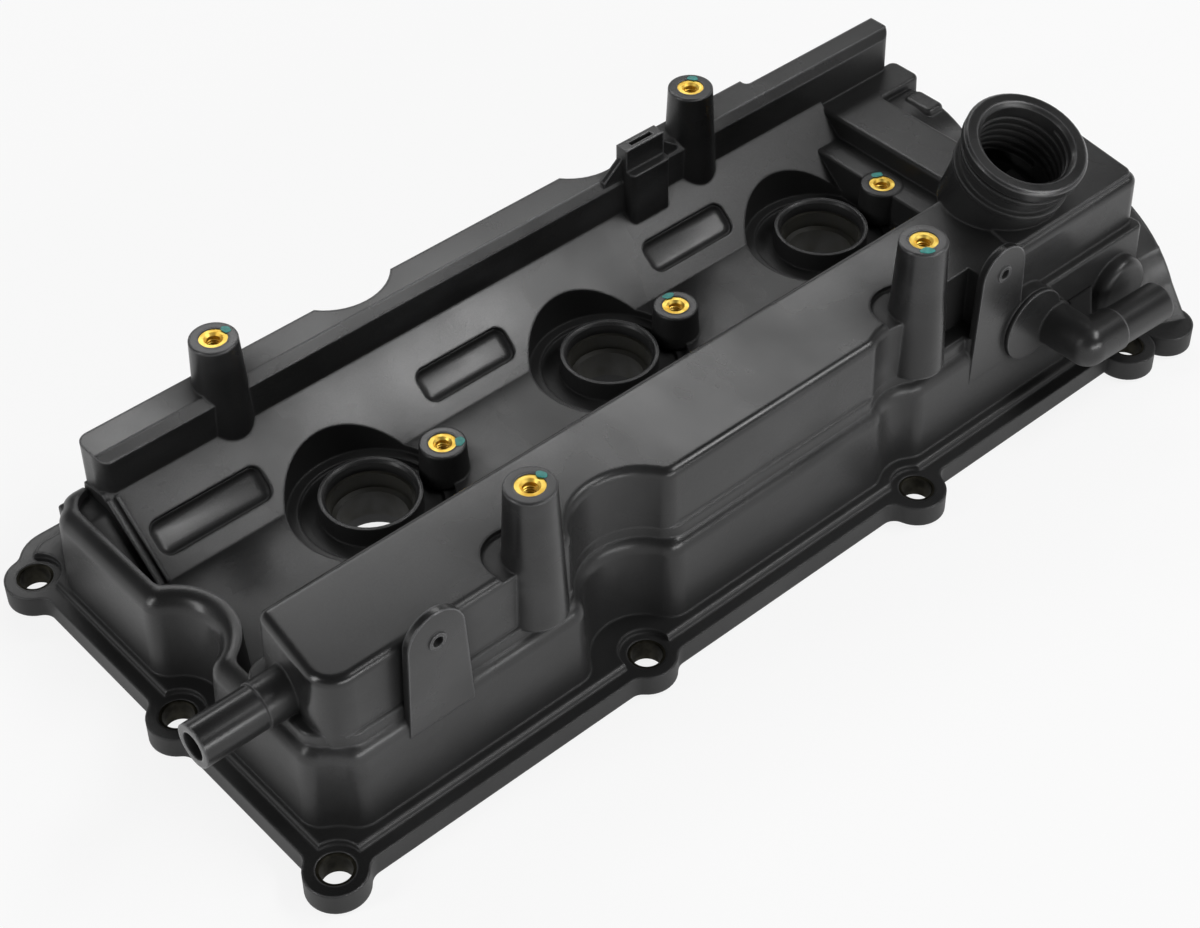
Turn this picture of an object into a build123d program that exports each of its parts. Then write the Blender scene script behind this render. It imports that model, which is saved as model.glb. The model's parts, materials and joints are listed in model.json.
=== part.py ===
import os
from math import atan2, cos, degrees, hypot, radians, sin, tan

from build123d import *

# spark plug bores, middle one on the origin
bore_pitch = 108.0
bore_xs = [-bore_pitch, 0.0, bore_pitch]

# moulded wall and draft
wall = 3.0
draft = 2.0

# sealing flange
flange_x0 = -208.0
flange_x1 = 188.5
flange_y0 = -109.5
flange_y1 = 76.0
flange_t = 8.0
flange_corner_r = 14.0
ear_r = 10.4
ear_blend_r = 5.0
ear_seat_r = 9.2
ear_points = [
    (-205.8, 59.4, 0.0),
    (-204.3, -23.3, 0.0),
    (-203.3, -105.0, 45.0),
    (-77.0, -103.9, 90.0),
    (44.4, -110.0, 90.0),
    (157.7, -110.5, 90.0),
    (-70.0, 71.0, -90.0),
    (42.0, 71.0, -90.0),
    (150.0, 71.0, -90.0),
    (186.5, -20.0, 180.0),
]
lobe_at = (178.5, -111.6)
ridge_inset = 4.5
ridge_h = 2.0

# compression sleeves pressed into the ears
sleeve_r = 6.2
sleeve_bore_r = 5.2

# gasket in its groove
groove_in = 0.2
groove_out = 3.4
groove_depth = 3.2
gasket_gap = 0.15
gasket_proud = 1.2

# lower wall, standing on the flange
foot_x0 = -201.4
foot_x1 = 179.5
foot_y0 = -101.0
foot_y1 = 67.0
foot_corner_r = 12.0
foot_slope = 3.0
terrace_z = 20.0
terrace_r = 3.0

# deck: the sunk valley floor inside the tall rim at the left end
deck_z = 22.5
rim_x = -192.8
rim_y1 = 50.0
rim_ear_r = 24.0
rim_corner_r = 8.0
tall_y1 = 57.0

# ledges at the foot of the platform
ledge_z = 42.5
ledge_r = 6.0
ledge_step = 4.0
ledge_step_inset = 4.6
flush_x0 = 79.0
flush_z = 50.0
flush_inset = 1.2

# breather platform
plat_x0 = -189.2
plat_x1 = 179.0
plat_y0 = -95.0
plat_y1 = -54.0
plat_z = 70.0
plat_left_lean = 5.4
plat_right_lean = 6.2
plat_corners_r = [10.0, 6.0, 4.0, 4.0]
plat_edge_r = 3.0
plat_scallop_grow = 5.0

# bolt scallops: centre, radius at the foot, direction out of the part
scallops = [
    (-203.3, -105.0, 14.0, 225.0),
    (-79.0, -104.5, 17.0, 270.0),
    (44.4, -110.0, 12.7, 270.0),
]
side_scallops = [
    (-205.8, 59.4, 11.5, 180.0),
    (-204.3, -23.3, 14.3, 180.0),
    (-70.0, 71.0, 12.7, 90.0),
    (42.0, 71.0, 12.7, 90.0),
    (150.0, 71.0, 12.7, 90.0),
    (186.5, -20.0, 12.7, 0.0),
    (157.7, -110.5, 12.7, 270.0),
]
scallop_blend_r = 9.0
plat_blend_r = 6.0

# notch in the platform wall beside the right tab
notch_x0 = 66.0
notch_x1 = 87.0
notch_y = -88.5
notch_z = 47.0

# sloped face up to the far rail, with its lipped left edge and slanted right end
slope_x0 = -184.3
slope_x1 = 148.0
slope_y0 = 14.5
slope_y1 = 40.0
slope_z1 = 43.0
slope_cut_low = (129.0, 27.5)
slope_cut_high = (148.0, 45.0)
lip_h = 1.1
lips = [(0.0, 1.8), (3.4, 4.8)]

# far rail
rail_x0 = -184.0
rail_x1 = 187.5
rail_y0 = 40.5
rail_y1 = 56.0
rail_z = 60.0
rail_corner_r = 5.0
rail_chamfer = 3.5
rail_cuts = [
    (-70.0, 69.0, 21.0),
    (42.0, 69.0, 21.0),
]
rail_right_step = 3.5
rail_right_x = 118.0

# front block at the right end, between rail and platform
block_x0 = 146.0
block_x1 = 171.0
block_z = 42.0
block_corner_r = 4.0
arm_x1 = 193.0
arm_y0 = 27.6
arm_y1 = 44.0
lump = (177.0, 187.0, 9.5, 24.5, 40.5)
shelf_x0 = 133.5
shelf_y1 = 35.0
shelf_z = 33.8

# arched right end
arch_x0 = 164.0
arch_x1 = 186.0
arch_r0 = 42.0
arch_r1 = 50.0
arch_z = -2.0
arch_y_near = -62.0
arch_y_far = 20.0
arch_far_r = 41.5
arch_skirt = [(-36.5, 34.5), (-53.1, 9.9), (0.0, 9.9), (0.0, 34.5)]

# spark plug wells and their collars
well_r = 29.0
well_z = 19.5
well_step_r = 25.0
well_step_z = 18.3
collar_r = 17.8
collar_z = 26.3
socket_r = 15.6
socket_z0 = -1.0
guide_r = 13.4
seal_z0 = 4.0
seal_z1 = 21.5
seal_bore_r = 12.4
seal_flare = 6.0

# rounded pockets in the sloped face
pocket_xs = [(-176.4, -133.0), (-65.2, -26.3), (42.3, 81.6)]
pocket_y0 = 20.3
pocket_y1 = 29.6
pocket_depth = 3.4
pocket_lip = 0.7

# bosses with threaded brass inserts: x, y, top height, bottom height
insert_r = 4.9
insert_bore_r = 2.5
insert_len = 12.0
insert_sunk = 0.3
boss_taper = 1.3
coil_boss_r = 8.2
coil_boss_at = (28.5, -4.0)
coil_boss_z = 34.3
near_bosses = [(-112.1, -91.2), (59.5, -90.1)]
near_boss_z = 97.8
far_bosses = [(-131.9, 47.3), (82.2, 46.2)]
far_boss_z = 78.7
tall_boss_r = 8.4

# bracket tabs on the near side
tab_r = 10.7
tab_foot_half = 12.4
tab_t = 3.0
tab_hole_r = 1.9
tab_ring_r = 3.2
tab_ring_h = 0.5
tab_y = -99.6
tabs = [(-156.0, 80.4, 35.0, 69.0), (92.7, 81.6, 28.0, 70.9)]

# clip bracket in front of the rail
clip_x0 = 44.0
clip_x1 = 62.6
clip_y0 = 35.5
clip_low_z = 62.0
clip_y1 = 39.5
clip_back_y = 45.0
clip_z = 71.5

# left breather tube
tube_r = 7.5
tube_bore_r = 4.8
spigot_r = 5.9
spigot_gap = 0.1
tube_y = -70.0
tube_z = 50.2
tube_x = -224.5
tube_collar_r = 8.0
tube_collar_x = foot_x0 - 0.6

# right breather elbow, welded on its wall pad
pad_x = 111.0
pad_z = 39.0
pad_r = 14.0
pad_small_r = 9.0
pad_rise = 1.0
pad_t = 1.6
elbow_x = 122.5
elbow_y = -117.0
elbow_z = 33.3
elbow_root_r = 8.2
elbow_root_x = 136.0
elbow_end_x = 162.0
elbow_drop = 2.8
web_tip = (145.4, -99.5)
web_pipe = (131.8, -110.7)
web_t = 3.0

# wall bulge behind the elbow
bulge_x = 158.5
bulge_z = 30.0
bulge_r = 12.5
bulge_y = -105.0
bulge_edge_r = 3.0

# oil filler neck
neck_x = 124.7
neck_y = -67.8
neck_tilt = 19.7
neck_h = 30.9
neck_r = 22.6
neck_rings = [(17.0, 15.0, 21.3), (9.0, 7.0, 21.3), (4.4, 1.0, neck_r)]
neck_groove_r = 19.4
neck_foot_r = 20.2
neck_post_r = 19.0
neck_bore_r = 16.6
neck_throat_r = 15.4
neck_throat_drop = 10.0
neck_pad_z = 1.0
neck_pad = [(105.2, -92.0), (171.0, -92.0), (176.0, -55.4), (121.0, -55.4), (110.8, -66.2)]

# baffle plate under the breather chamber
baffle_z = 39.5
baffle_t = 2.5
baffle_gap = 0.3
drain_r = 5.0
drain_len = 14.0
baffle_slot_l = 22.0
baffle_slot_w = 4.0
baffle_fill_r = 14.0

# stiffening ribs inside
rib_t = 2.4
rib_xs = [-150.0, -54.0, 54.0]
rib_foot_z = 9.0
post_r = 4.5
post_y = -73.0
post_xs = [-150.0, -30.0, 84.0]
stake_r = 1.6
stake_len = 4.0
fence_xs = [-110.0, 0.0, 60.0]
fence_gap = 16.0


def box(x0, x1, y0, y1, z0, z1):
    return Pos((x0 + x1) / 2, (y0 + y1) / 2, (z0 + z1) / 2) * Box(x1 - x0, y1 - y0, z1 - z0)


def sheet(x0, x1, y0, y1, r, sharp_near_left=False):
    outline = Pos((x0 + x1) / 2, (y0 + y1) / 2) * Rectangle(x1 - x0, y1 - y0)
    corners = outline.vertices()
    if sharp_near_left:
        corners = [v for v in corners if v.X > x0 + 1 or v.Y > y0 + 1]
    return fillet(corners, r)


def drum(x, y, r, z0, z1, r_top=None):
    if r_top is None:
        return Pos(x, y, (z0 + z1) / 2) * Cylinder(r, z1 - z0)
    return Pos(x, y, (z0 + z1) / 2) * Cone(r, r_top, z1 - z0)


def on_circle(part, x, y, r):
    return [v for v in part.vertices() if abs(hypot(v.X - x, v.Y - y) - r) < 0.01]


def scalloped(outline, cuts, inset, blend):
    for x, y, r, way in cuts:
        outline = outline - Pos(x, y) * Rot(0, 0, way) * Circle(r + inset)
    outline = offset(outline, -blend, kind=Kind.INTERSECTION)
    return offset(outline, blend, kind=Kind.ARC)


def tier(outline, z0, z1, top_r=0.0, slope=draft):
    block = extrude(Pos(0, 0, z0) * outline, amount=z1 - z0, taper=slope)
    if top_r > 0:
        block = fillet(block.edges().group_by(Axis.Z)[-1], top_r)
    return block


def side_prism(points, x0, x1):
    wire = Polyline(*[(x0, y, z) for y, z in points], close=True)
    return extrude(make_face(wire), amount=x1 - x0, dir=(1, 0, 0))


def flange_sheet():
    outline = sheet(flange_x0, flange_x1, flange_y0, flange_y1, flange_corner_r, True)
    for x, y, way in ear_points:
        outline = outline + Pos(x, y) * Rot(0, 0, way) * Circle(ear_r)
        if x < 150 or y > 0:
            outline = fillet(on_circle(outline, x, y, ear_r), ear_blend_r)
    return outline + Pos(*lobe_at) * Rot(0, 0, 90) * Circle(ear_r)


def foot_sheet(inset):
    outline = sheet(foot_x0 + inset, foot_x1 - inset, foot_y0 + inset, foot_y1 - inset,
                    foot_corner_r, True)
    return scalloped(outline, scallops + side_scallops, inset, scallop_blend_r)


def tall_sheet():
    outline = sheet(foot_x0, foot_x1 - 3, foot_y0, tall_y1, foot_corner_r, True)
    return scalloped(outline, scallops + side_scallops[:2], 0, scallop_blend_r)


def valley_sheet(grow):
    y0 = plat_y1 + 2 - grow
    side = sheet(rim_x - grow, slope_x0 + 20, y0, rim_y1 + grow, rim_corner_r, True)
    middle = Pos((slope_x0 + 200) / 2, (y0 + 90) / 2) * Rectangle(200 - slope_x0, 90 - y0)
    x, y, r, way = side_scallops[1]
    size = rim_ear_r - grow
    floor = side + middle - Pos(x, y) * Rot(0, 0, way) * Circle(size)
    return fillet(on_circle(floor, x, y, size), rim_corner_r / 2)


def near_sheet(inset, lift, x1):
    outline = sheet(foot_x0 + lift + inset, x1 - inset, foot_y0 + lift + inset,
                    plat_y1 + 3 - inset, foot_corner_r - 3, True)
    return scalloped(outline, scallops, inset + lift, scallop_blend_r)


def plat_sheet(inset):
    points = [
        (plat_x0 - plat_left_lean, plat_y0),
        (plat_x1 - plat_right_lean, plat_y0),
        (plat_x1, plat_y1),
        (plat_x0, plat_y1),
    ]
    outline = make_face(Polyline(*points, close=True))
    if inset > 0:
        outline = offset(outline, -inset, kind=Kind.INTERSECTION)
    for (x, y), r in zip(points, plat_corners_r):
        corner = outline.vertices().sort_by_distance((x, y, 0))[0]
        outline = fillet(corner, max(r - inset, 1.0))
    for x, y, r, way in scallops[1:]:
        size = r + plat_scallop_grow + inset
        outline = outline - Pos(x, y) * Rot(0, 0, way) * Circle(size)
        outline = fillet(on_circle(outline, x, y, size), plat_blend_r)
    return outline


def rail_sheet(inset):
    outline = sheet(rail_x0 + inset, rail_x1 - inset, rail_y0 + inset, rail_y1 - inset,
                    rail_corner_r - inset)
    for x, y, r in rail_cuts:
        outline = outline - Pos(x, y) * Rot(0, 0, 90) * Circle(r + inset)
    step = sheet(rail_right_x, rail_x1 + 5, rail_y1 - rail_right_step - inset, rail_y1 + 5, 2.0)
    return outline - step


def rail_block(inset, z0):
    shift = inset * 1.414
    low = rail_y0 - 1
    top = rail_z + 1
    bevel = [
        (low, rail_z - rail_chamfer - 1 - shift),
        (low, top),
        (rail_y0 + rail_chamfer + 1 + shift, top),
    ]
    block = tier(rail_sheet(inset), z0, rail_z - inset, 0, 0.5)
    return block - side_prism(bevel, rail_x0 - 1, rail_x1 + 1)


def arch(inset):
    near = Pos((arch_x0 + arch_x1) / 2, arch_y_near, arch_z) * Rot(0, 90, 0)
    near = near * Cone(arch_r0 - inset, arch_r1 - inset, arch_x1 - arch_x0 - 2 * inset)
    far = Pos((arch_x0 + arch_x1) / 2, arch_y_far, arch_z) * Rot(0, 90, 0)
    far = far * Cylinder(arch_far_r - inset, arch_x1 - arch_x0 - 2 * inset)
    ends = []
    for x, r in ((arch_x0 + inset, arch_r0 - inset), (arch_x1 - inset, arch_r1 - inset)):
        k = r / arch_r1
        spots = [(x, arch_y_near + y * k, arch_z + z * k) for y, z in arch_skirt]
        ends.append(make_face(Polyline(*spots, close=True)))
    skirt = loft(ends, ruled=True)
    bound = box(arch_x0, arch_x1, flange_y0 - 10, flange_y1, inset and flange_t + inset, rail_z)
    return (near + far + skirt) & bound


def slope_block(inset):
    rise = atan2(slope_z1 - deck_z, slope_y1 - slope_y0)
    drop = inset / cos(rise)
    points = [
        (slope_y0 - 1, deck_z - 4 - drop),
        (slope_y0, deck_z - drop),
        (slope_y1 + 2, slope_z1 + 2 * tan(rise) - drop),
        (rail_y1 - 3 - inset, slope_z1 - inset),
        (rail_y1 + 1 - inset, terrace_z - inset),
        (slope_y0 - 1, terrace_z - inset - 1),
    ]
    block = side_prism(points, slope_x0 + inset, slope_x1 - inset)
    end = [
        (slope_cut_low[0] - inset, 0),
        (slope_cut_low[0] - inset, slope_cut_low[1]),
        (slope_cut_high[0] - inset, slope_cut_high[1]),
        (slope_x1 + 5, slope_cut_high[1]),
        (slope_x1 + 5, 0),
    ]
    wire = Polyline(*[(x, 0, z) for x, z in end], close=True)
    return block - extrude(make_face(wire), amount=rail_y1 + 5, dir=(0, 1, 0))


def slope_lips():
    length = hypot(slope_y1 - slope_y0, slope_z1 - deck_z)
    bars = [pocket_frame() * box(slope_x0 + a, slope_x0 + b, 0, length, -1, lip_h) for a, b in lips]
    return bars[0] + bars[1]


def front_block():
    near = sheet(block_x0, block_x1, plat_y1 - 4, arm_y1, block_corner_r)
    arm = sheet(block_x0 + 12, arm_x1, arm_y0, arm_y1, block_corner_r)
    return tier(near + arm, deck_z - 3, block_z, 1.5)


def outer_form():
    form = tier(foot_sheet(0), 0, terrace_z, terrace_r, foot_slope)
    form += tier(tall_sheet(), 0, ledge_z, ledge_r, foot_slope)
    form -= tier(valley_sheet(-1.0), deck_z, ledge_z + 1, 0, -foot_slope)
    form += tier(near_sheet(0, ledge_step_inset, flush_x0 + 20), ledge_z - 8, ledge_z + ledge_step, 1.2)
    form += tier(sheet(flush_x0, foot_x1 - 5, foot_y0 + flush_inset, plat_y1 + 4, 4.0), terrace_z - 6,
                 flush_z, 1.2)
    form += tier(plat_sheet(0), ledge_z - 4, plat_z, plat_edge_r, 1.0)
    form += slope_block(0)
    form += slope_lips()
    form += rail_block(0, terrace_z - 2)
    form += front_block()
    x0, x1, y0, y1, z = lump
    form += tier(sheet(x0, x1, y0, y1, 3.0), deck_z - 3, z, 2.0, 0.5)
    form += drum(neck_x, neck_y, neck_post_r, deck_z - 2, plat_z + 0.5)
    form += arch(0)
    return form


def inner_form():
    w = wall
    form = tier(foot_sheet(w), -1, terrace_z - w, 0, foot_slope)
    form += tier(near_sheet(w, 1.5, foot_x1 - 3), 10, baffle_z)
    form += tier(plat_sheet(w + 1), baffle_z, plat_z - w, 0, 1.0)
    form += drum(neck_x, neck_y, neck_post_r - w, baffle_z, plat_z - w)
    form += slope_block(w)
    form += rail_block(w, 10)
    form += box(block_x0 + w, block_x1 - w, plat_y1, rail_y0 + w, 10, block_z - w)
    form += box(shelf_x0 + w, block_x0 + w + 1, plat_y1, shelf_y1 - w, 10, shelf_z - w)
    form += arch(w)
    return form


def lying(x, y, z, r, length, way):
    turns = {"x": Rot(0, 90, 0), "-x": Rot(0, -90, 0), "y": Rot(-90, 0, 0), "-y": Rot(90, 0, 0)}
    return Pos(x, y, z) * turns[way] * Pos(0, 0, length / 2) * Cylinder(r, length)


def boss_spots():
    spots = []
    for bx in bore_xs:
        spots.append((bx + coil_boss_at[0], coil_boss_at[1], coil_boss_z, coil_boss_r, deck_z - 2))
    for x, y in near_bosses:
        spots.append((x, y, near_boss_z, tall_boss_r, ledge_z + ledge_step - 1))
    for x, y in far_bosses:
        spots.append((x, y, far_boss_z, tall_boss_r, slope_z1 - 6))
    return spots


def boss(x, y, top, r, foot):
    post = drum(x, y, r + boss_taper * (top - foot) / 28, foot, top, r)
    return fillet(post.edges().group_by(Axis.Z)[-1], 0.6)


def neck_frame():
    lean = radians(neck_tilt)
    return Plane(origin=(neck_x, neck_y, plat_z), x_dir=(1, 0, 0), z_dir=(0, -sin(lean), cos(lean)))


def neck_turned():
    profile = [(0, -6), (neck_foot_r, -6)]
    for low, high, r in neck_rings:
        profile += [(neck_groove_r, neck_h - low - 0.4), (r, neck_h - low), (r, neck_h - high)]
        profile += [(neck_groove_r, neck_h - high + 0.4)]
    profile[2:3] = [(neck_foot_r, neck_h - neck_rings[0][0])]
    profile[-1:] = [(neck_r - 1, neck_h), (0, neck_h)]
    turned = revolve(Plane.XZ * make_face(Polyline(*profile, close=True)), Axis.Z)
    return neck_frame() * turned


def neck_bore():
    hole = Pos(0, 0, neck_h / 2) * Cylinder(neck_bore_r, neck_h)
    mouth = Pos(0, 0, neck_h - 0.6) * Cone(neck_bore_r, neck_bore_r + 1.6, 1.6)
    throat = drum(neck_x, neck_y, neck_throat_r, plat_z - neck_throat_drop, plat_z + 2)
    return neck_frame() * (hole + mouth) + throat


def tab_plate(x, top, foot, hole_z):
    side = top - tab_r
    flare = [
        (x - tab_r, tab_y, side),
        (x + tab_r, tab_y, side),
        (x + tab_foot_half, tab_y, foot),
        (x - tab_foot_half, tab_y, foot),
    ]
    plate = extrude(make_face(Polyline(*flare, close=True)), amount=tab_t, dir=(0, 1, 0))
    plate += lying(x, tab_y, side, tab_r, tab_t, "y")
    plate += lying(x, tab_y - tab_ring_h, hole_z, tab_ring_r, tab_ring_h + 1, "y")
    reach = tab_r - 4
    plate += box(x - reach, x + reach, tab_y + tab_t - 0.5, plat_y0 + 1, ledge_z - 3, plat_z - 5)
    return plate - lying(x, tab_y - 2, hole_z, tab_hole_r, tab_t + 3, "y")


def pocket_frame():
    rise = atan2(slope_z1 - deck_z, slope_y1 - slope_y0)
    return Plane(origin=(0, slope_y0, deck_z), x_dir=(1, 0, 0), z_dir=(0, -sin(rise), cos(rise)))


def pocket(x0, x1, grow, depth, height):
    rise = atan2(slope_z1 - deck_z, slope_y1 - slope_y0)
    v0 = (pocket_y0 - slope_y0) / cos(rise) - grow
    v1 = (pocket_y1 - slope_y0) / cos(rise) + grow
    outline = Pos((x0 + x1) / 2, (v0 + v1) / 2)
    outline = outline * RectangleRounded(x1 - x0 + 2 * grow, v1 - v0, (v1 - v0) * 0.3)
    return pocket_frame() * (Pos(0, 0, -depth) * extrude(outline, amount=height, taper=-8))


def pocket_mouth(x0, x1):
    rise = atan2(slope_z1 - deck_z, slope_y1 - slope_y0)
    v0 = (pocket_y0 - slope_y0) / cos(rise)
    v1 = (pocket_y1 - slope_y0) / cos(rise)
    outline = Pos((x0 + x1) / 2, (v0 + v1) / 2) * RectangleRounded(x1 - x0, v1 - v0, (v1 - v0) * 0.3)
    return pocket_frame() * (Pos(0, 0, -pocket_lip) * extrude(outline, amount=2.2, taper=-50))


def clip_bracket():
    low = box(clip_x0, clip_x1, clip_y0, rail_y0 + 1, slope_z1 - 10, clip_low_z)
    back = box(clip_x0, clip_x1, clip_y1, clip_back_y, clip_low_z - 6, clip_z)
    form = low + back
    form = fillet(form.edges().filter_by(Axis.Z).sort_by(Axis.Y)[:2], 2.0)
    slot = box(clip_x0 + 4, clip_x1 - 4, clip_y1 + 1.6, clip_y1 + 3.6, clip_low_z - 4, clip_z + 1)
    for x, side in ((clip_x0, -1), (clip_x1, 1)):
        spots = [(x, rail_z - 2), (x, rail_z + 7), (x + side * 9, rail_z), (x + side * 9, rail_z - 2)]
        wing = Rot(90, 0, 0) * make_face(Polyline(*spots, close=True))
        form += Pos(0, clip_y1 + 4.5, 0) * extrude(wing, amount=2.4, dir=(0, -1, 0))
    return form - slot


def pad_disc(y, depth):
    disc = lying(pad_x, y, pad_z, pad_r, depth, "y")
    return disc + lying(elbow_x, y, elbow_z, pad_small_r, depth, "y")


def cover_body():
    form = extrude(flange_sheet(), amount=flange_t)
    seat = foot_y0 + pad_rise
    ridge = sheet(flange_x0 + ridge_inset, flange_x1 - ridge_inset, flange_y0 + ridge_inset,
                  flange_y1 - ridge_inset, flange_corner_r - ridge_inset)
    form += tier(ridge, flange_t - 1, flange_t + ridge_h, 1.2, 20.0)
    form += outer_form()
    for x, y, way in ear_points:
        form -= drum(x, y, ear_seat_r, flange_t, flange_t + 26)
    for x0, x1 in pocket_xs:
        form -= pocket(x0, x1, 0, pocket_depth, 12)
        form -= pocket_mouth(x0, x1)
    weld = fillet(make_face(Polyline(*neck_pad, close=True)).vertices(), 4.0)
    form += tier(weld, plat_z - 1, plat_z + neck_pad_z, 0.5)
    for bx in bore_xs:
        form -= drum(bx, 0, well_r, well_z, rail_z)
        form -= drum(bx, 0, well_step_r, well_step_z, rail_z)
        form += drum(bx, 0, collar_r, socket_z0, collar_z)
    form += tier(sheet(shelf_x0, block_x0 + 8, plat_y1 - 5, shelf_y1, 3.0), deck_z - 4, shelf_z, 0.8)
    form -= box(notch_x0, notch_x1, foot_y0 - 2, notch_y, notch_z, plat_z + 2)
    for x, y in near_bosses:
        form -= drum(x - 3.5, y + 2, tall_boss_r + 3.6, plat_z - 1.6, plat_z + 2)
    form += clip_bracket()
    form += neck_turned()
    form += lying(tube_x, tube_y, tube_z, tube_r, plat_x0 - tube_x + 5, "x")
    form += lying(tube_collar_x, tube_y, tube_z, tube_collar_r, plat_x0 - tube_collar_x + 3, "x")
    form += pad_disc(seat, 6)
    dome = lying(bulge_x, bulge_y, bulge_z, bulge_r, -bulge_y + foot_y0 + 4, "y")
    form += fillet(dome.edges().group_by(Axis.Y)[0], bulge_edge_r)
    for tab in tabs:
        form += tab_plate(*tab)

    room = inner_form()
    for x, y, way in ear_points:
        room -= drum(x, y, ear_seat_r + wall, -2, flange_t + 26 + wall)
    for bx in bore_xs:
        room -= drum(bx, 0, well_r + wall, well_step_z - wall, rail_z)
        room -= drum(bx, 0, collar_r, socket_z0, rail_z)
    for x0, x1 in pocket_xs:
        room -= pocket(x0, x1, wall * 0.7, pocket_depth + wall, 12)
    for x, y in near_bosses:
        room -= drum(x - 3.5, y + 2, tall_boss_r + 3.6 + wall, plat_z - 1.6 - wall, plat_z)
    room -= box(notch_x0 - wall, notch_x1 + wall, foot_y0 - 2, notch_y + wall, notch_z - wall, plat_z)
    for x in rib_xs:
        room -= box(x - rib_t / 2, x + rib_t / 2, plat_y1, rail_y1, rib_foot_z, rail_z)
    for x in post_xs:
        room -= drum(x, post_y, post_r, baffle_z, plat_z)
        room -= drum(x, post_y, stake_r, baffle_z - stake_len, plat_z)
    for n, x in enumerate(fence_xs):
        y0 = plat_y0 + (fence_gap if n % 2 else 0)
        y1 = plat_y1 - (0 if n % 2 else fence_gap)
        room -= box(x - rib_t / 2, x + rib_t / 2, y0, y1, baffle_z, plat_z)
    body = form - room

    for x, y, top, r, foot in boss_spots():
        body += boss(x, y, top, r, foot)
        body -= drum(x, y, insert_r, top - insert_len - insert_sunk, top + 1)
    for x, y in near_bosses + far_bosses:
        top = near_boss_z if (x, y) in near_bosses else far_boss_z
        body -= drum(x, y, insert_r - 1, top - 55, top - insert_len - 4)
    for bx in bore_xs:
        body -= drum(bx, 0, socket_r, seal_z0, collar_z + 1)
        body -= drum(bx, 0, guide_r, socket_z0 - 1, collar_z)
        body -= drum(bx, 0, socket_r, collar_z - 1, collar_z + 0.01, socket_r + 1)
    for x, y, way in ear_points:
        body -= drum(x, y, sleeve_r, -1, flange_t + 1)
    body -= neck_bore()
    body -= lying(tube_x - 1, tube_y, tube_z, tube_bore_r, plat_x0 - tube_x + 12, "x")
    body -= lying(elbow_x, foot_y0 - 4, elbow_z, spigot_r + spigot_gap, 14, "y")
    groove = extrude(foot_sheet(-groove_out), amount=groove_depth + 1)
    groove -= extrude(foot_sheet(groove_in), amount=20)
    body -= Pos(0, 0, -1) * groove
    return body


def perimeter_gasket():
    ring = extrude(foot_sheet(-groove_out + gasket_gap), amount=groove_depth + gasket_proud)
    ring -= extrude(foot_sheet(groove_in - gasket_gap), amount=20)
    return Pos(0, 0, -gasket_proud) * ring


def baffle_plate():
    plate = tier(near_sheet(wall + baffle_gap, 1.5, foot_x1 - 3), 10, baffle_z)
    plate &= box(foot_x0, foot_x1, foot_y0, foot_y1, baffle_z - baffle_t, baffle_z)
    for x in post_xs:
        plate -= drum(x, post_y, stake_r + 0.1, 0, plat_z)
    for x in fence_xs:
        for k in (-1, 0, 1):
            plate -= box(x + 14, x + 14 + baffle_slot_l, post_y + k * 8 - baffle_slot_w / 2,
                         post_y + k * 8 + baffle_slot_w / 2, 0, plat_z)
    plate -= drum(neck_x, post_y, baffle_fill_r, 0, plat_z)
    for x in (post_xs[0] - 20, post_xs[-1] - 20):
        plate += drum(x, post_y, drain_r, baffle_z - baffle_t - drain_len, baffle_z - baffle_t)
        plate -= drum(x, post_y, drain_r - 1.8, 0, plat_z)
    return plate


def breather_elbow():
    seat = foot_y0 + pad_rise
    run = elbow_end_x - elbow_x
    root = elbow_root_x - elbow_x
    sag = degrees(atan2(elbow_drop, run))
    disc = pad_disc(seat - pad_t, pad_t)
    stub = lying(elbow_x, elbow_y, elbow_z, elbow_root_r, seat - elbow_y, "y")
    corner = Pos(elbow_x, elbow_y, elbow_z) * Sphere(elbow_root_r)
    along = Pos(elbow_x, elbow_y, elbow_z) * Rot(0, 90 + sag, 0)
    pipe = along * Pos(0, 0, run / 2) * Cylinder(tube_r, run)
    pipe += along * Pos(0, 0, root / 2) * Cylinder(elbow_root_r, root)
    spigot = lying(elbow_x, seat - 1, elbow_z, spigot_r, wall + 2, "y")
    edge = elbow_x + pad_small_r + 0.6
    points = [
        (elbow_x + 2, elbow_y + 4),
        web_pipe,
        web_tip,
        (edge, web_tip[1]),
        (edge, seat - 1),
        (elbow_x + 2, seat - 1),
    ]
    web = make_face(Polyline(*points, close=True))
    gusset = Pos(0, 0, elbow_z + 0.4) * extrude(web, amount=web_t)
    form = disc + stub + corner + pipe + spigot + gusset
    form -= lying(elbow_x, elbow_y, elbow_z, tube_bore_r, -elbow_y + foot_y0 + 8, "y")
    form -= Pos(elbow_x, elbow_y, elbow_z) * Sphere(tube_bore_r)
    form -= along * Pos(0, 0, run / 2 + 0.5) * Cylinder(tube_bore_r, run + 1)
    return form


def plug_tube_seal(bx):
    profile = [
        (seal_bore_r, seal_z0), (socket_r, seal_z0), (socket_r, seal_z1), (socket_r - 1.2, seal_z1),
        (socket_r - 1.6, seal_z1 - seal_flare), (seal_bore_r, seal_z1 - seal_flare - 0.8),
    ]
    return Pos(bx, 0, 0) * revolve(Plane.XZ * make_face(Polyline(*profile, close=True)), Axis.Z)


def brass_insert(x, y, top):
    head = top - insert_sunk
    form = drum(x, y, insert_r, head - insert_len, head)
    form -= drum(x, y, insert_bore_r, head - insert_len - 1, head + 1)
    return form - drum(x, y, insert_bore_r, head - 0.8, head + 0.01, insert_bore_r + 0.8)


def flange_sleeve(x, y):
    form = drum(x, y, sleeve_r, 0, flange_t) - drum(x, y, sleeve_bore_r, -1, flange_t + 1)
    rims = form.edges().filter_by(GeomType.CIRCLE).group_by(Axis.Z)[-1]
    return chamfer(rims.sort_by(SortBy.RADIUS)[:1], 0.3)


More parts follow.
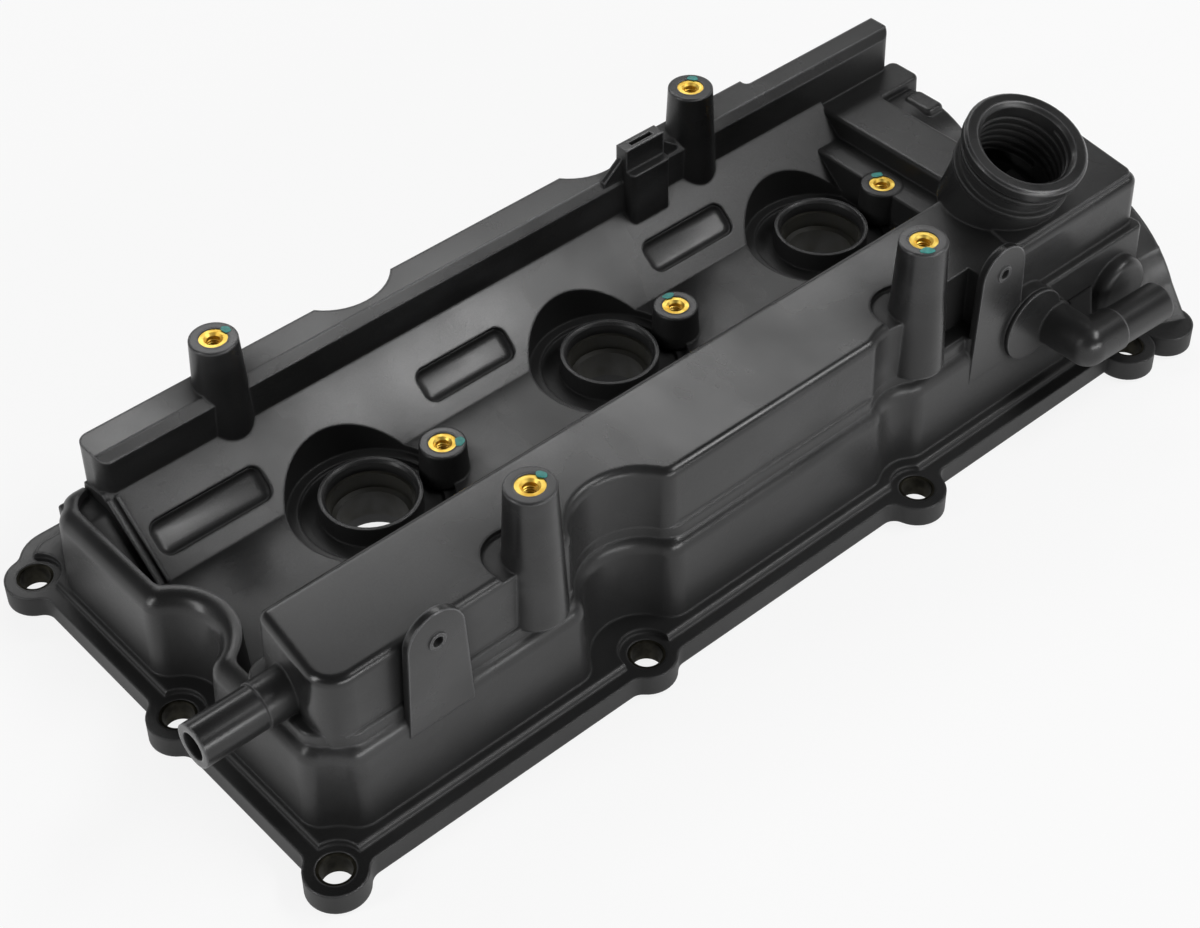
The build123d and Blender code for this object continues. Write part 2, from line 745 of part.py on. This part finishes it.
def save(shape, node):
    export_step(shape, "parts/" + node + ".step")


os.makedirs("parts", exist_ok=True)
save(cover_body(), "cover_body")
save(perimeter_gasket(), "perimeter_gasket")
save(baffle_plate(), "baffle_plate")
save(breather_elbow(), "breather_elbow")
for n, bx in enumerate(bore_xs):
    save(plug_tube_seal(bx), "plug_tube_seal_" + str(n + 1))
    save(brass_insert(bx + coil_boss_at[0], coil_boss_at[1], coil_boss_z), "coil_insert_" + str(n + 1))
for n, (x, y) in enumerate(near_bosses):
    save(brass_insert(x, y, near_boss_z), "near_insert_" + str(n + 1))
for n, (x, y) in enumerate(far_bosses):
    save(brass_insert(x, y, far_boss_z), "far_insert_" + str(n + 1))
for n, (x, y, way) in enumerate(ear_points):
    save(flange_sleeve(x, y), "flange_sleeve_" + str(n + 1))
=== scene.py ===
import json
from math import atan2, cos, radians, sin
from random import Random

import bpy
from mathutils import Matrix, Vector


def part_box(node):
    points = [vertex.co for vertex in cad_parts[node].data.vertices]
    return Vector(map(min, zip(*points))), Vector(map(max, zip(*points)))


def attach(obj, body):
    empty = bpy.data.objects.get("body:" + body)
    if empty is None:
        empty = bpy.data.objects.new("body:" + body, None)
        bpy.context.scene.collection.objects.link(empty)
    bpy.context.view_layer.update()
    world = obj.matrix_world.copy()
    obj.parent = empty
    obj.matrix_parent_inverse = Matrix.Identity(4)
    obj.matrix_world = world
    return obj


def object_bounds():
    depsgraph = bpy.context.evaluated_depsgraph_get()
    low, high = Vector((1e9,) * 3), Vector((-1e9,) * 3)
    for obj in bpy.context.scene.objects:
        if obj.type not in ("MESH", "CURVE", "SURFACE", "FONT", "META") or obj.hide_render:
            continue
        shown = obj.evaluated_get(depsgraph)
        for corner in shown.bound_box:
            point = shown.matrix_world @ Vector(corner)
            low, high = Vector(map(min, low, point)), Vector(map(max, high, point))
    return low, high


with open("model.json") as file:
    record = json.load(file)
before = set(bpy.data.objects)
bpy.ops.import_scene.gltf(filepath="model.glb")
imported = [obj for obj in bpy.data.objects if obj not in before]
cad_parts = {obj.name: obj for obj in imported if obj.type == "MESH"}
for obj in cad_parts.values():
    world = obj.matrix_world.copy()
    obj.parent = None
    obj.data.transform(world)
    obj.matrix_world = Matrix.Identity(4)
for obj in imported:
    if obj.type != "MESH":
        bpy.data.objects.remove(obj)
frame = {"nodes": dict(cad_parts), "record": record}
nodes = frame["nodes"]
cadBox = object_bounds()
print("frame loaded", len(nodes), "nodes")

mm = 0.001
mounts = {m["name"]: m for m in frame["record"]["mounts"]}
scene = bpy.context.scene
scene.view_settings.view_transform = "Standard"


# helpers for materials
def newMaterial(name):
    mat = bpy.data.materials.new(name)
    mat.use_nodes = True
    return mat, mat.node_tree, mat.node_tree.nodes["Principled BSDF"]


def addNode(tree, kind, **settings):
    node = tree.nodes.new(kind)
    for key, value in settings.items():
        setattr(node, key, value)
    return node


def noiseOn(tree, scale, detail, stretch=(1, 1, 1), shift=(0, 0, 0)):
    place = addNode(tree, "ShaderNodeTexCoord")
    mapping = addNode(tree, "ShaderNodeMapping")
    mapping.inputs["Scale"].default_value = stretch
    mapping.inputs["Location"].default_value = shift
    noise = addNode(tree, "ShaderNodeTexNoise")
    noise.inputs["Scale"].default_value = scale
    noise.inputs["Detail"].default_value = detail
    tree.links.new(place.outputs["Object"], mapping.inputs["Vector"])
    tree.links.new(mapping.outputs["Vector"], noise.inputs["Vector"])
    return noise.outputs["Fac"]


def ramp(tree, source, spots, colours):
    node = addNode(tree, "ShaderNodeValToRGB")
    first, last = node.color_ramp.elements
    first.position, last.position = spots[0], spots[-1]
    first.color = (*colours[0], 1)
    last.color = (*colours[-1], 1)
    for spot, colour in zip(spots[1:-1], colours[1:-1]):
        node.color_ramp.elements.new(spot).color = (*colour, 1)
    tree.links.new(source, node.inputs["Fac"])
    return node.outputs["Color"]


def spread(tree, source, low, high, start=0.3, end=0.7):
    node = addNode(tree, "ShaderNodeMapRange")
    node.inputs["From Min"].default_value = start
    node.inputs["From Max"].default_value = end
    node.inputs["To Min"].default_value = low
    node.inputs["To Max"].default_value = high
    tree.links.new(source, node.inputs["Value"])
    return node.outputs["Result"]


def bumpFrom(tree, height, strength, depth):
    bump = addNode(tree, "ShaderNodeBump")
    bump.inputs["Strength"].default_value = strength
    bump.inputs["Distance"].default_value = depth
    tree.links.new(height, bump.inputs["Height"])
    return bump


def grey(value):
    return (value, value, value * 1.03)  # a trace of blue


# glass-filled nylon: near black, pale flow marks, a painted highlight on open edges, painted shade and a
# duller finish in the corners
mouldedLook = {
    "dark": 0.003, "body": 0.008, "flow": 0.03, "paintedHighlight": 0.13,
    "flowMarks": (34, 7, (0.5, 1.0, 1.0)), "flowSpots": (0.30, 0.52, 0.78),
    "smudges": (22, 6, (1, 0.6, 1), (0.3, 0.1, 0)), "rough": (0.19, 0.33), "specular": 0.55,
    "edgeRound": 1.3 * mm, "edgeSamples": 6, "edgeTurn": (0.88, 0.995),
    "cornerReach": 60 * mm, "cornerSamples": 4, "cornerShade": (0.5, 1.0),
    "dull": 0.45, "dullShade": (0.5, 0.95),
    "grain": (500, 2), "grainStrength": 0.02, "grainDepth": 0.1 * mm,
}


def mouldedNylon():
    look = mouldedLook
    mat, tree, shader = newMaterial("mouldedNylon")
    link = tree.links.new
    greys = [grey(look[tone]) for tone in ("dark", "body", "flow")]
    tint = ramp(tree, noiseOn(tree, *look["flowMarks"]), look["flowSpots"], greys)

    # where the rounded normal turns away from the flat one is an edge, and where that edge lies open it gets
    # a painted highlight
    rounded = addNode(tree, "ShaderNodeBevel", samples=look["edgeSamples"])
    rounded.inputs["Radius"].default_value = look["edgeRound"]
    flat = addNode(tree, "ShaderNodeNewGeometry")
    turned = addNode(tree, "ShaderNodeVectorMath", operation="DOT_PRODUCT")
    link(rounded.outputs["Normal"], turned.inputs[0])
    link(flat.outputs["Normal"], turned.inputs[1])
    corner = addNode(tree, "ShaderNodeAmbientOcclusion", samples=look["cornerSamples"])
    corner.inputs["Distance"].default_value = look["cornerReach"]
    openness = spread(tree, corner.outputs["AO"], 0, 1, *look["cornerShade"])
    paintedHighlight = addNode(tree, "ShaderNodeMath", operation="MULTIPLY")
    link(spread(tree, turned.outputs["Value"], 1, 0, *look["edgeTurn"]), paintedHighlight.inputs[0])
    link(openness, paintedHighlight.inputs[1])

    # painted highlight: open edges are lightened towards a pale grey
    highlighted = addNode(tree, "ShaderNodeMixRGB")
    link(paintedHighlight.outputs["Value"], highlighted.inputs["Fac"])
    link(tint, highlighted.inputs["Color1"])
    highlighted.inputs["Color2"].default_value = (*grey(look["paintedHighlight"]), 1)
    # painted shade: the colour darkens to the darkest tone where the corners are closed in
    shade = addNode(tree, "ShaderNodeMixRGB")
    link(openness, shade.inputs["Fac"])
    shade.inputs["Color1"].default_value = (*grey(look["dark"]), 1)
    link(highlighted.outputs["Color"], shade.inputs["Color2"])
    link(shade.outputs["Color"], shader.inputs["Base Color"])

    roughness = addNode(tree, "ShaderNodeMath", operation="ADD")
    link(spread(tree, noiseOn(tree, *look["smudges"]), *look["rough"]), roughness.inputs[0])
    link(spread(tree, corner.outputs["AO"], look["dull"], 0, *look["dullShade"]), roughness.inputs[1])
    link(roughness.outputs["Value"], shader.inputs["Roughness"])
    bump = bumpFrom(tree, noiseOn(tree, *look["grain"]), look["grainStrength"], look["grainDepth"])
    link(rounded.outputs["Normal"], bump.inputs["Normal"])
    link(bump.outputs["Normal"], shader.inputs["Normal"])
    shader.inputs["Specular IOR Level"].default_value = look["specular"]
    return mat


# turned inserts and sleeves, stained in patches and duller there
metalLook = {
    "stain": (260, 5), "stainSpots": (0.3, 0.6), "duller": 0.14,
    "marks": (2600, 3, (1, 1, 0.2)), "markDepth": 0.05 * mm,
}


def turnedMetal(name, colour, dull, rough, markStrength):
    look = metalLook
    mat, tree, shader = newMaterial(name)
    link = tree.links.new
    stain = noiseOn(tree, *look["stain"])
    link(ramp(tree, stain, look["stainSpots"], (dull, colour)), shader.inputs["Base Color"])
    link(spread(tree, stain, rough + look["duller"], rough), shader.inputs["Roughness"])
    shader.inputs["Metallic"].default_value = 1.0
    bump = bumpFrom(tree, noiseOn(tree, *look["marks"]), markStrength, look["markDepth"])
    link(bump.outputs["Normal"], shader.inputs["Normal"])
    return mat


# moulded rubber with a little dust
rubberLook = {
    "dust": (140, 5), "dustSpots": (0.35, 0.75), "duller": 0.15,
    "grain": (1800, 3), "grainStrength": 0.15, "grainDepth": 0.1 * mm,
}


def softRubber(name, dark, light, rough):
    look = rubberLook
    mat, tree, shader = newMaterial(name)
    link = tree.links.new
    dust = noiseOn(tree, *look["dust"])
    link(ramp(tree, dust, look["dustSpots"], (dark, light)), shader.inputs["Base Color"])
    link(spread(tree, dust, rough, rough + look["duller"]), shader.inputs["Roughness"])
    bump = bumpFrom(tree, noiseOn(tree, *look["grain"]), look["grainStrength"], look["grainDepth"])
    link(bump.outputs["Normal"], shader.inputs["Normal"])
    return mat


paintLook = {
    "patches": (700, 4), "patchSpots": (0.3, 0.7), "rough": (0.35, 0.55),
    "thin": (0.02, 0.19, 0.17), "full": (0.06, 0.36, 0.32),
}


def tealPaint():
    look = paintLook
    mat, tree, shader = newMaterial("tealPaint")
    patch = noiseOn(tree, *look["patches"])
    teal = ramp(tree, patch, look["patchSpots"], (look["thin"], look["full"]))
    tree.links.new(teal, shader.inputs["Base Color"])
    tree.links.new(spread(tree, patch, *look["rough"]), shader.inputs["Roughness"])
    return mat


finishes = {
    "moulded": mouldedNylon(),
    "brass": turnedMetal(
        "insertBrass", colour=(0.96, 0.70, 0.16), dull=(0.78, 0.48, 0.07), rough=0.36, markStrength=0.3),
    "steel": turnedMetal(
        "sleeveSteel", colour=(0.03, 0.028, 0.021), dull=(0.012, 0.011, 0.008), rough=0.62, markStrength=0.4),
    "gasket": softRubber("gasketRubber", dark=(0.012, 0.012, 0.012), light=(0.03, 0.03, 0.03), rough=0.5),
    "seal": softRubber("sealRubber", dark=(0.007, 0.0064, 0.0036), light=(0.018, 0.0167, 0.010), rough=0.6),
    "paint": tealPaint(),
}


def finishOf(name):
    for word, finish in (("insert", "brass"), ("sleeve", "steel"), ("gasket", "gasket"), ("seal", "seal")):
        if word in name:
            return finishes[finish]
    return finishes["moulded"]


for name, obj in nodes.items():
    obj.data.materials.clear()
    obj.data.materials.append(finishOf(name))
print("materials set")


# helpers for the pieces made here
def clearSelection():
    bpy.ops.object.select_all(action="DESELECT")


def applyPlace():
    bpy.ops.object.transform_apply(location=True, rotation=True, scale=True)


def editAll():
    bpy.ops.object.mode_set(mode="EDIT")
    bpy.ops.mesh.select_all(action="SELECT")


def leaveEdit():
    bpy.ops.mesh.normals_make_consistent(inside=False)
    bpy.ops.object.mode_set(mode="OBJECT")


def seat(piece, place, turn):
    piece.rotation_euler = turn
    piece.location = place
    applyPlace()


smoothAngle = radians(40)


def finishPiece(piece, name, finish):
    piece.name = name
    piece.data.materials.clear()
    piece.data.materials.append(finishes[finish])
    bpy.ops.object.shade_smooth_by_angle(angle=smoothAngle)
    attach(piece, "root")


# ridge of a screw thread, wound up from z 0
def threadHelix(radius, thread):
    clearSelection()
    bpy.ops.mesh.primitive_circle_add(
        vertices=6, radius=thread["ridge"], location=(radius, 0, 0), rotation=(radians(90), 0, 0))
    piece = bpy.context.object
    applyPlace()
    wind = piece.modifiers.new("wind", "SCREW")
    wind.axis = "Z"
    wind.screw_offset = thread["pitch"]
    wind.iterations = thread["turns"]
    wind.steps = thread["steps"]
    wind.render_steps = thread["steps"]
    bpy.ops.object.modifier_apply(modifier=wind.name)
    editAll()
    bpy.ops.mesh.remove_doubles(threshold=0.001 * mm)
    bpy.ops.mesh.fill_holes(sides=0)
    leaveEdit()
    return piece


# start: along the neck's axis from the middle of its bore
neckThread = {"ridge": 0.8 * mm, "pitch": 3.4 * mm, "turns": 6, "steps": 72, "start": -8.5 * mm}


def addNeckThread():
    mount = mounts["filler_neck"]
    axis = Vector(mount["axis"])
    piece = threadHelix(mount["dims"]["r_mm"] * mm, neckThread)
    turn = Vector((0, 0, 1)).rotation_difference(axis).to_euler()
    seat(piece, Vector(mount["pos_m"]) + axis * neckThread["start"], turn)
    finishPiece(piece, "filler_neck_thread", "moulded")


insertThread = {"ridge": 0.32 * mm, "pitch": 1.0 * mm, "turns": 10, "steps": 28, "start": -5.4 * mm}


def addInsertThreads():
    for name, mount in mounts.items():
        if "_thread_" in name:
            piece = threadHelix(mount["dims"]["r_mm"] * mm, insertThread)
            seat(piece, Vector(mount["pos_m"]) + Vector((0, 0, insertThread["start"])), (0, 0, 0))
            finishPiece(piece, "insert_" + name, "brass")


# teal inspection dabs on the boss tops: insert, angle round it, distance from its axis, radius
dabs = {
    "spots": [
        ("far_insert_1", 8, 5.7, 3.0), ("far_insert_2", 40, 5.7, 2.7), ("near_insert_1", 15, 5.6, 2.9),
        ("near_insert_2", 235, 5.6, 3.2), ("coil_insert_1", 320, 5.8, 3.2), ("coil_insert_2", 75, 5.8, 2.8),
        ("coil_insert_3", 60, 5.8, 3.0),
    ],
    "corners": 12, "uneven": (0.7, 1.2), "narrow": 0.72, "thick": 0.22 * mm, "topShare": 0.72,
    "smoothing": 2, "lift": 0.3 * mm, "seed": 7,
}


def addDabs():
    draw = Random(dabs["seed"])
    for name, angle, reach, radius in dabs["spots"]:
        low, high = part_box(name)
        centre = (low + high) / 2
        spot = Matrix.Rotation(radians(angle), 3, "Z") @ Vector((reach * mm, 0, 0))
        clearSelection()
        bpy.ops.mesh.primitive_circle_add(vertices=dabs["corners"], radius=radius * mm, fill_type="NGON")
        piece = bpy.context.object
        for vertex in piece.data.vertices:
            vertex.co *= draw.uniform(*dabs["uneven"])
            vertex.co.x *= dabs["narrow"]
        editAll()
        bpy.ops.mesh.extrude_region_move(TRANSFORM_OT_translate={"value": (0, 0, dabs["thick"])})
        bpy.ops.transform.resize(value=(dabs["topShare"], dabs["topShare"], 1))
        bpy.ops.mesh.select_all(action="SELECT")
        leaveEdit()
        smooth = piece.modifiers.new("smooth", "SUBSURF")
        smooth.levels = dabs["smoothing"]
        smooth.render_levels = dabs["smoothing"]
        bpy.ops.object.modifier_apply(modifier=smooth.name)
        place = Vector((centre.x, centre.y, high.z + dabs["lift"])) + spot
        seat(piece, place, (0, 0, radians(angle)))
        finishPiece(piece, "paint_dab_" + name, "paint")


# coved floors of the three pockets in the slope, in mm: foot and top of the slope as (y, z),
# ends of the pockets along x, their edges measured up the slope, coves as (inward, down)
pocketDish = {
    "foot": (14.5, 22.5), "top": (40.0, 43.0), "ends": [(-176.4, -133.0), (-65.2, -26.3), (42.3, 81.6)],
    "edges": (7.44, 19.38), "rim": 0.45, "below": 0.75, "corner": 3.9, "cornerSteps": 6, "skirt": 2.9,
    "coves": [(0.4, 0.65), (0.6, 0.5), (0.9, 0.35), (1.2, 0.2)],
}


def addPocketDishes():
    dish = pocketDish
    rise = atan2(dish["top"][1] - dish["foot"][1], dish["top"][0] - dish["foot"][0])
    along = Vector((0, cos(rise), sin(rise)))
    out = Vector((0, -sin(rise), cos(rise)))
    low, high = dish["edges"]
    for count, (left, right) in enumerate(dish["ends"], 1):
        clearSelection()
        bpy.ops.mesh.primitive_plane_add(size=1)
        piece = bpy.context.object
        piece.scale = ((right - left + 2 * dish["rim"]) * mm, (high - low + 2 * dish["rim"]) * mm, 1)
        applyPlace()
        editAll()
        bpy.ops.mesh.bevel(offset=dish["corner"] * mm, segments=dish["cornerSteps"], affect="VERTICES")
        for inward, down in dish["coves"]:
            bpy.ops.mesh.inset(thickness=inward * mm, depth=-down * mm)
        bpy.ops.mesh.select_all(action="SELECT")
        bpy.ops.mesh.region_to_loop()
        bpy.ops.mesh.extrude_region_move(TRANSFORM_OT_translate={"value": (0, 0, -dish["skirt"] * mm)})
        bpy.ops.mesh.edge_face_add()
        bpy.ops.mesh.select_all(action="SELECT")
        leaveEdit()
        foot = Vector(((left + right) / 2, *dish["foot"]))
        place = foot + along * (low + high) / 2 - out * dish["below"]
        seat(piece, place * mm, (rise, 0, 0))
        finishPiece(piece, "pocket_dish_" + str(count), "moulded")


# ramp in the gap between the left rim and the slope's left end, in mm: foot of its face as (y, z)
endRamp = {
    "x": (-195.4, -183.2), "y": (15.0, 53.0), "z": (21.4, 39.6),
    "foot": (17.4, 22.5), "rise": radians(38.8), "round": 1.0, "roundSteps": 3,
}


def addEndRamp():
    clearSelection()
    low, high = (Vector(corner) * mm for corner in zip(endRamp["x"], endRamp["y"], endRamp["z"]))
    bpy.ops.mesh.primitive_cube_add(size=1, location=(low + high) / 2)
    piece = bpy.context.object
    piece.scale = high - low
    applyPlace()
    editAll()
    foot = Vector((0, *endRamp["foot"])) * mm
    out = (0, -sin(endRamp["rise"]), cos(endRamp["rise"]))
    bpy.ops.mesh.bisect(plane_co=foot, plane_no=out, use_fill=True, clear_outer=True)
    bpy.ops.mesh.select_all(action="SELECT")
    bpy.ops.mesh.bevel(offset=endRamp["round"] * mm, segments=endRamp["roundSteps"], affect="EDGES")
    leaveEdit()
    finishPiece(piece, "left_end_ramp", "moulded")


addNeckThread()
addInsertThreads()
addDabs()
addPocketDishes()
addEndRamp()
print("threads, paint dabs, pocket floors and end ramp added")


# floor, light and camera
def seenDirectly(tree):
    rays = addNode(tree, "ShaderNodeLightPath")
    either = rays.outputs["Is Camera Ray"]
    for kind in ("Is Glossy Ray", "Is Transmission Ray"):
        pick = addNode(tree, "ShaderNodeMath", operation="MAXIMUM")
        tree.links.new(either, pick.inputs[0])
        tree.links.new(rays.outputs[kind], pick.inputs[1])
        either = pick.outputs["Value"]
    return either


# glow: share of plain white over the lit floor, which keeps the rest of the object's shadow
floorLook = {
    "size": 6, "gap": 0.2 * mm,
    "colour": (0.86, 0.86, 0.86), "rough": 0.8, "specular": 0.1, "glow": 0.85,
}


def paleFloor():
    clearSelection()
    bpy.ops.mesh.primitive_plane_add(size=floorLook["size"], location=(0, 0, cadBox[0][2] - floorLook["gap"]))
    floor = bpy.context.object
    floor.name = "pale_floor"
    mat, tree, shader = newMaterial("paleFloor")
    link = tree.links.new
    shader.inputs["Base Color"].default_value = (*floorLook["colour"], 1)
    shader.inputs["Roughness"].default_value = floorLook["rough"]
    shader.inputs["Specular IOR Level"].default_value = floorLook["specular"]
    glow = addNode(tree, "ShaderNodeEmission")
    blend = addNode(tree, "ShaderNodeMixShader")
    link(spread(tree, seenDirectly(tree), 0, floorLook["glow"], 0, 1), blend.inputs["Fac"])
    link(shader.outputs["BSDF"], blend.inputs[1])
    link(glow.outputs["Emission"], blend.inputs[2])
    link(blend.outputs["Shader"], tree.nodes["Material Output"].inputs["Surface"])
    floor.data.materials.append(mat)


def areaLight(name, spot, aim, size, power):
    data = bpy.data.lights.new(name, "AREA")
    data.shape = "RECTANGLE"
    data.size, data.size_y = size
    data.energy = power
    lamp = bpy.data.objects.new(name, data)
    scene.collection.objects.link(lamp)
    lamp.location = spot
    lamp.rotation_euler = (Vector(aim) - Vector(spot)).to_track_quat("-Z", "Y").to_euler()


# brightness of the sky by height, from the horizon up
skyBands = {"heights": (0.0, 0.12, 0.42, 1.0), "light": (0.95, 0.82, 0.18, 0.10)}


def studioSky():
    world = bpy.data.worlds.new("studio")
    scene.world = world
    world.use_nodes = True
    tree = world.node_tree
    outward = addNode(tree, "ShaderNodeTexCoord")
    height = addNode(tree, "ShaderNodeSeparateXYZ")
    tree.links.new(outward.outputs["Generated"], height.inputs["Vector"])
    whites = [(light,) * 3 for light in skyBands["light"]]
    bands = ramp(tree, height.outputs["Z"], skyBands["heights"], whites)
    tree.links.new(bands, tree.nodes["Background"].inputs["Color"])


paleFloor()
areaLight("keySoft", spot=(0.75, -0.66, 1.25), aim=(0.0, 0.03, 0.04), size=(0.9, 0.3), power=9)
areaLight("backSoft", spot=(0.55, 0.95, 1.1), aim=(0.05, -0.07, 0.07), size=(1.2, 0.26), power=4.9)
areaLight("leftSoft", spot=(-1.3, 0.25, 0.75), aim=(0, 0, 0.03), size=(0.3, 1.0), power=6)
areaLight("frontSoft", spot=(0.0, -1.4, 0.45), aim=(0.02, 0, 0.04), size=(1.3, 0.2), power=7.5)
studioSky()
print("floor and light set")

# the photo's camera, fitted to it: place in metres, right and up as unit directions
photoCamera = {
    "sensor": 36.0, "lens": 72.84, "shift": (0.0005, -0.0765), "near": 0.01,
    "place": (-0.43502, -0.49413, 0.59630),
    "right": (0.74775364, -0.66388129, -0.01123058), "up": (0.44521993, 0.48877574, 0.75025162),
}


def addPhotoCamera():
    cam = bpy.data.cameras.new("photoCamera")
    cam.sensor_width = photoCamera["sensor"]
    cam.lens = photoCamera["lens"]
    cam.shift_x, cam.shift_y = photoCamera["shift"]
    cam.clip_start = photoCamera["near"]
    eye = bpy.data.objects.new("photoCamera", cam)
    scene.collection.objects.link(eye)
    right = Vector(photoCamera["right"])
    up = Vector(photoCamera["up"])
    turn = Matrix((right, up, right.cross(up))).transposed().to_4x4()
    turn.translation = Vector(photoCamera["place"])
    eye.matrix_world = turn
    scene.camera = eye


addPhotoCamera()
print("camera set")
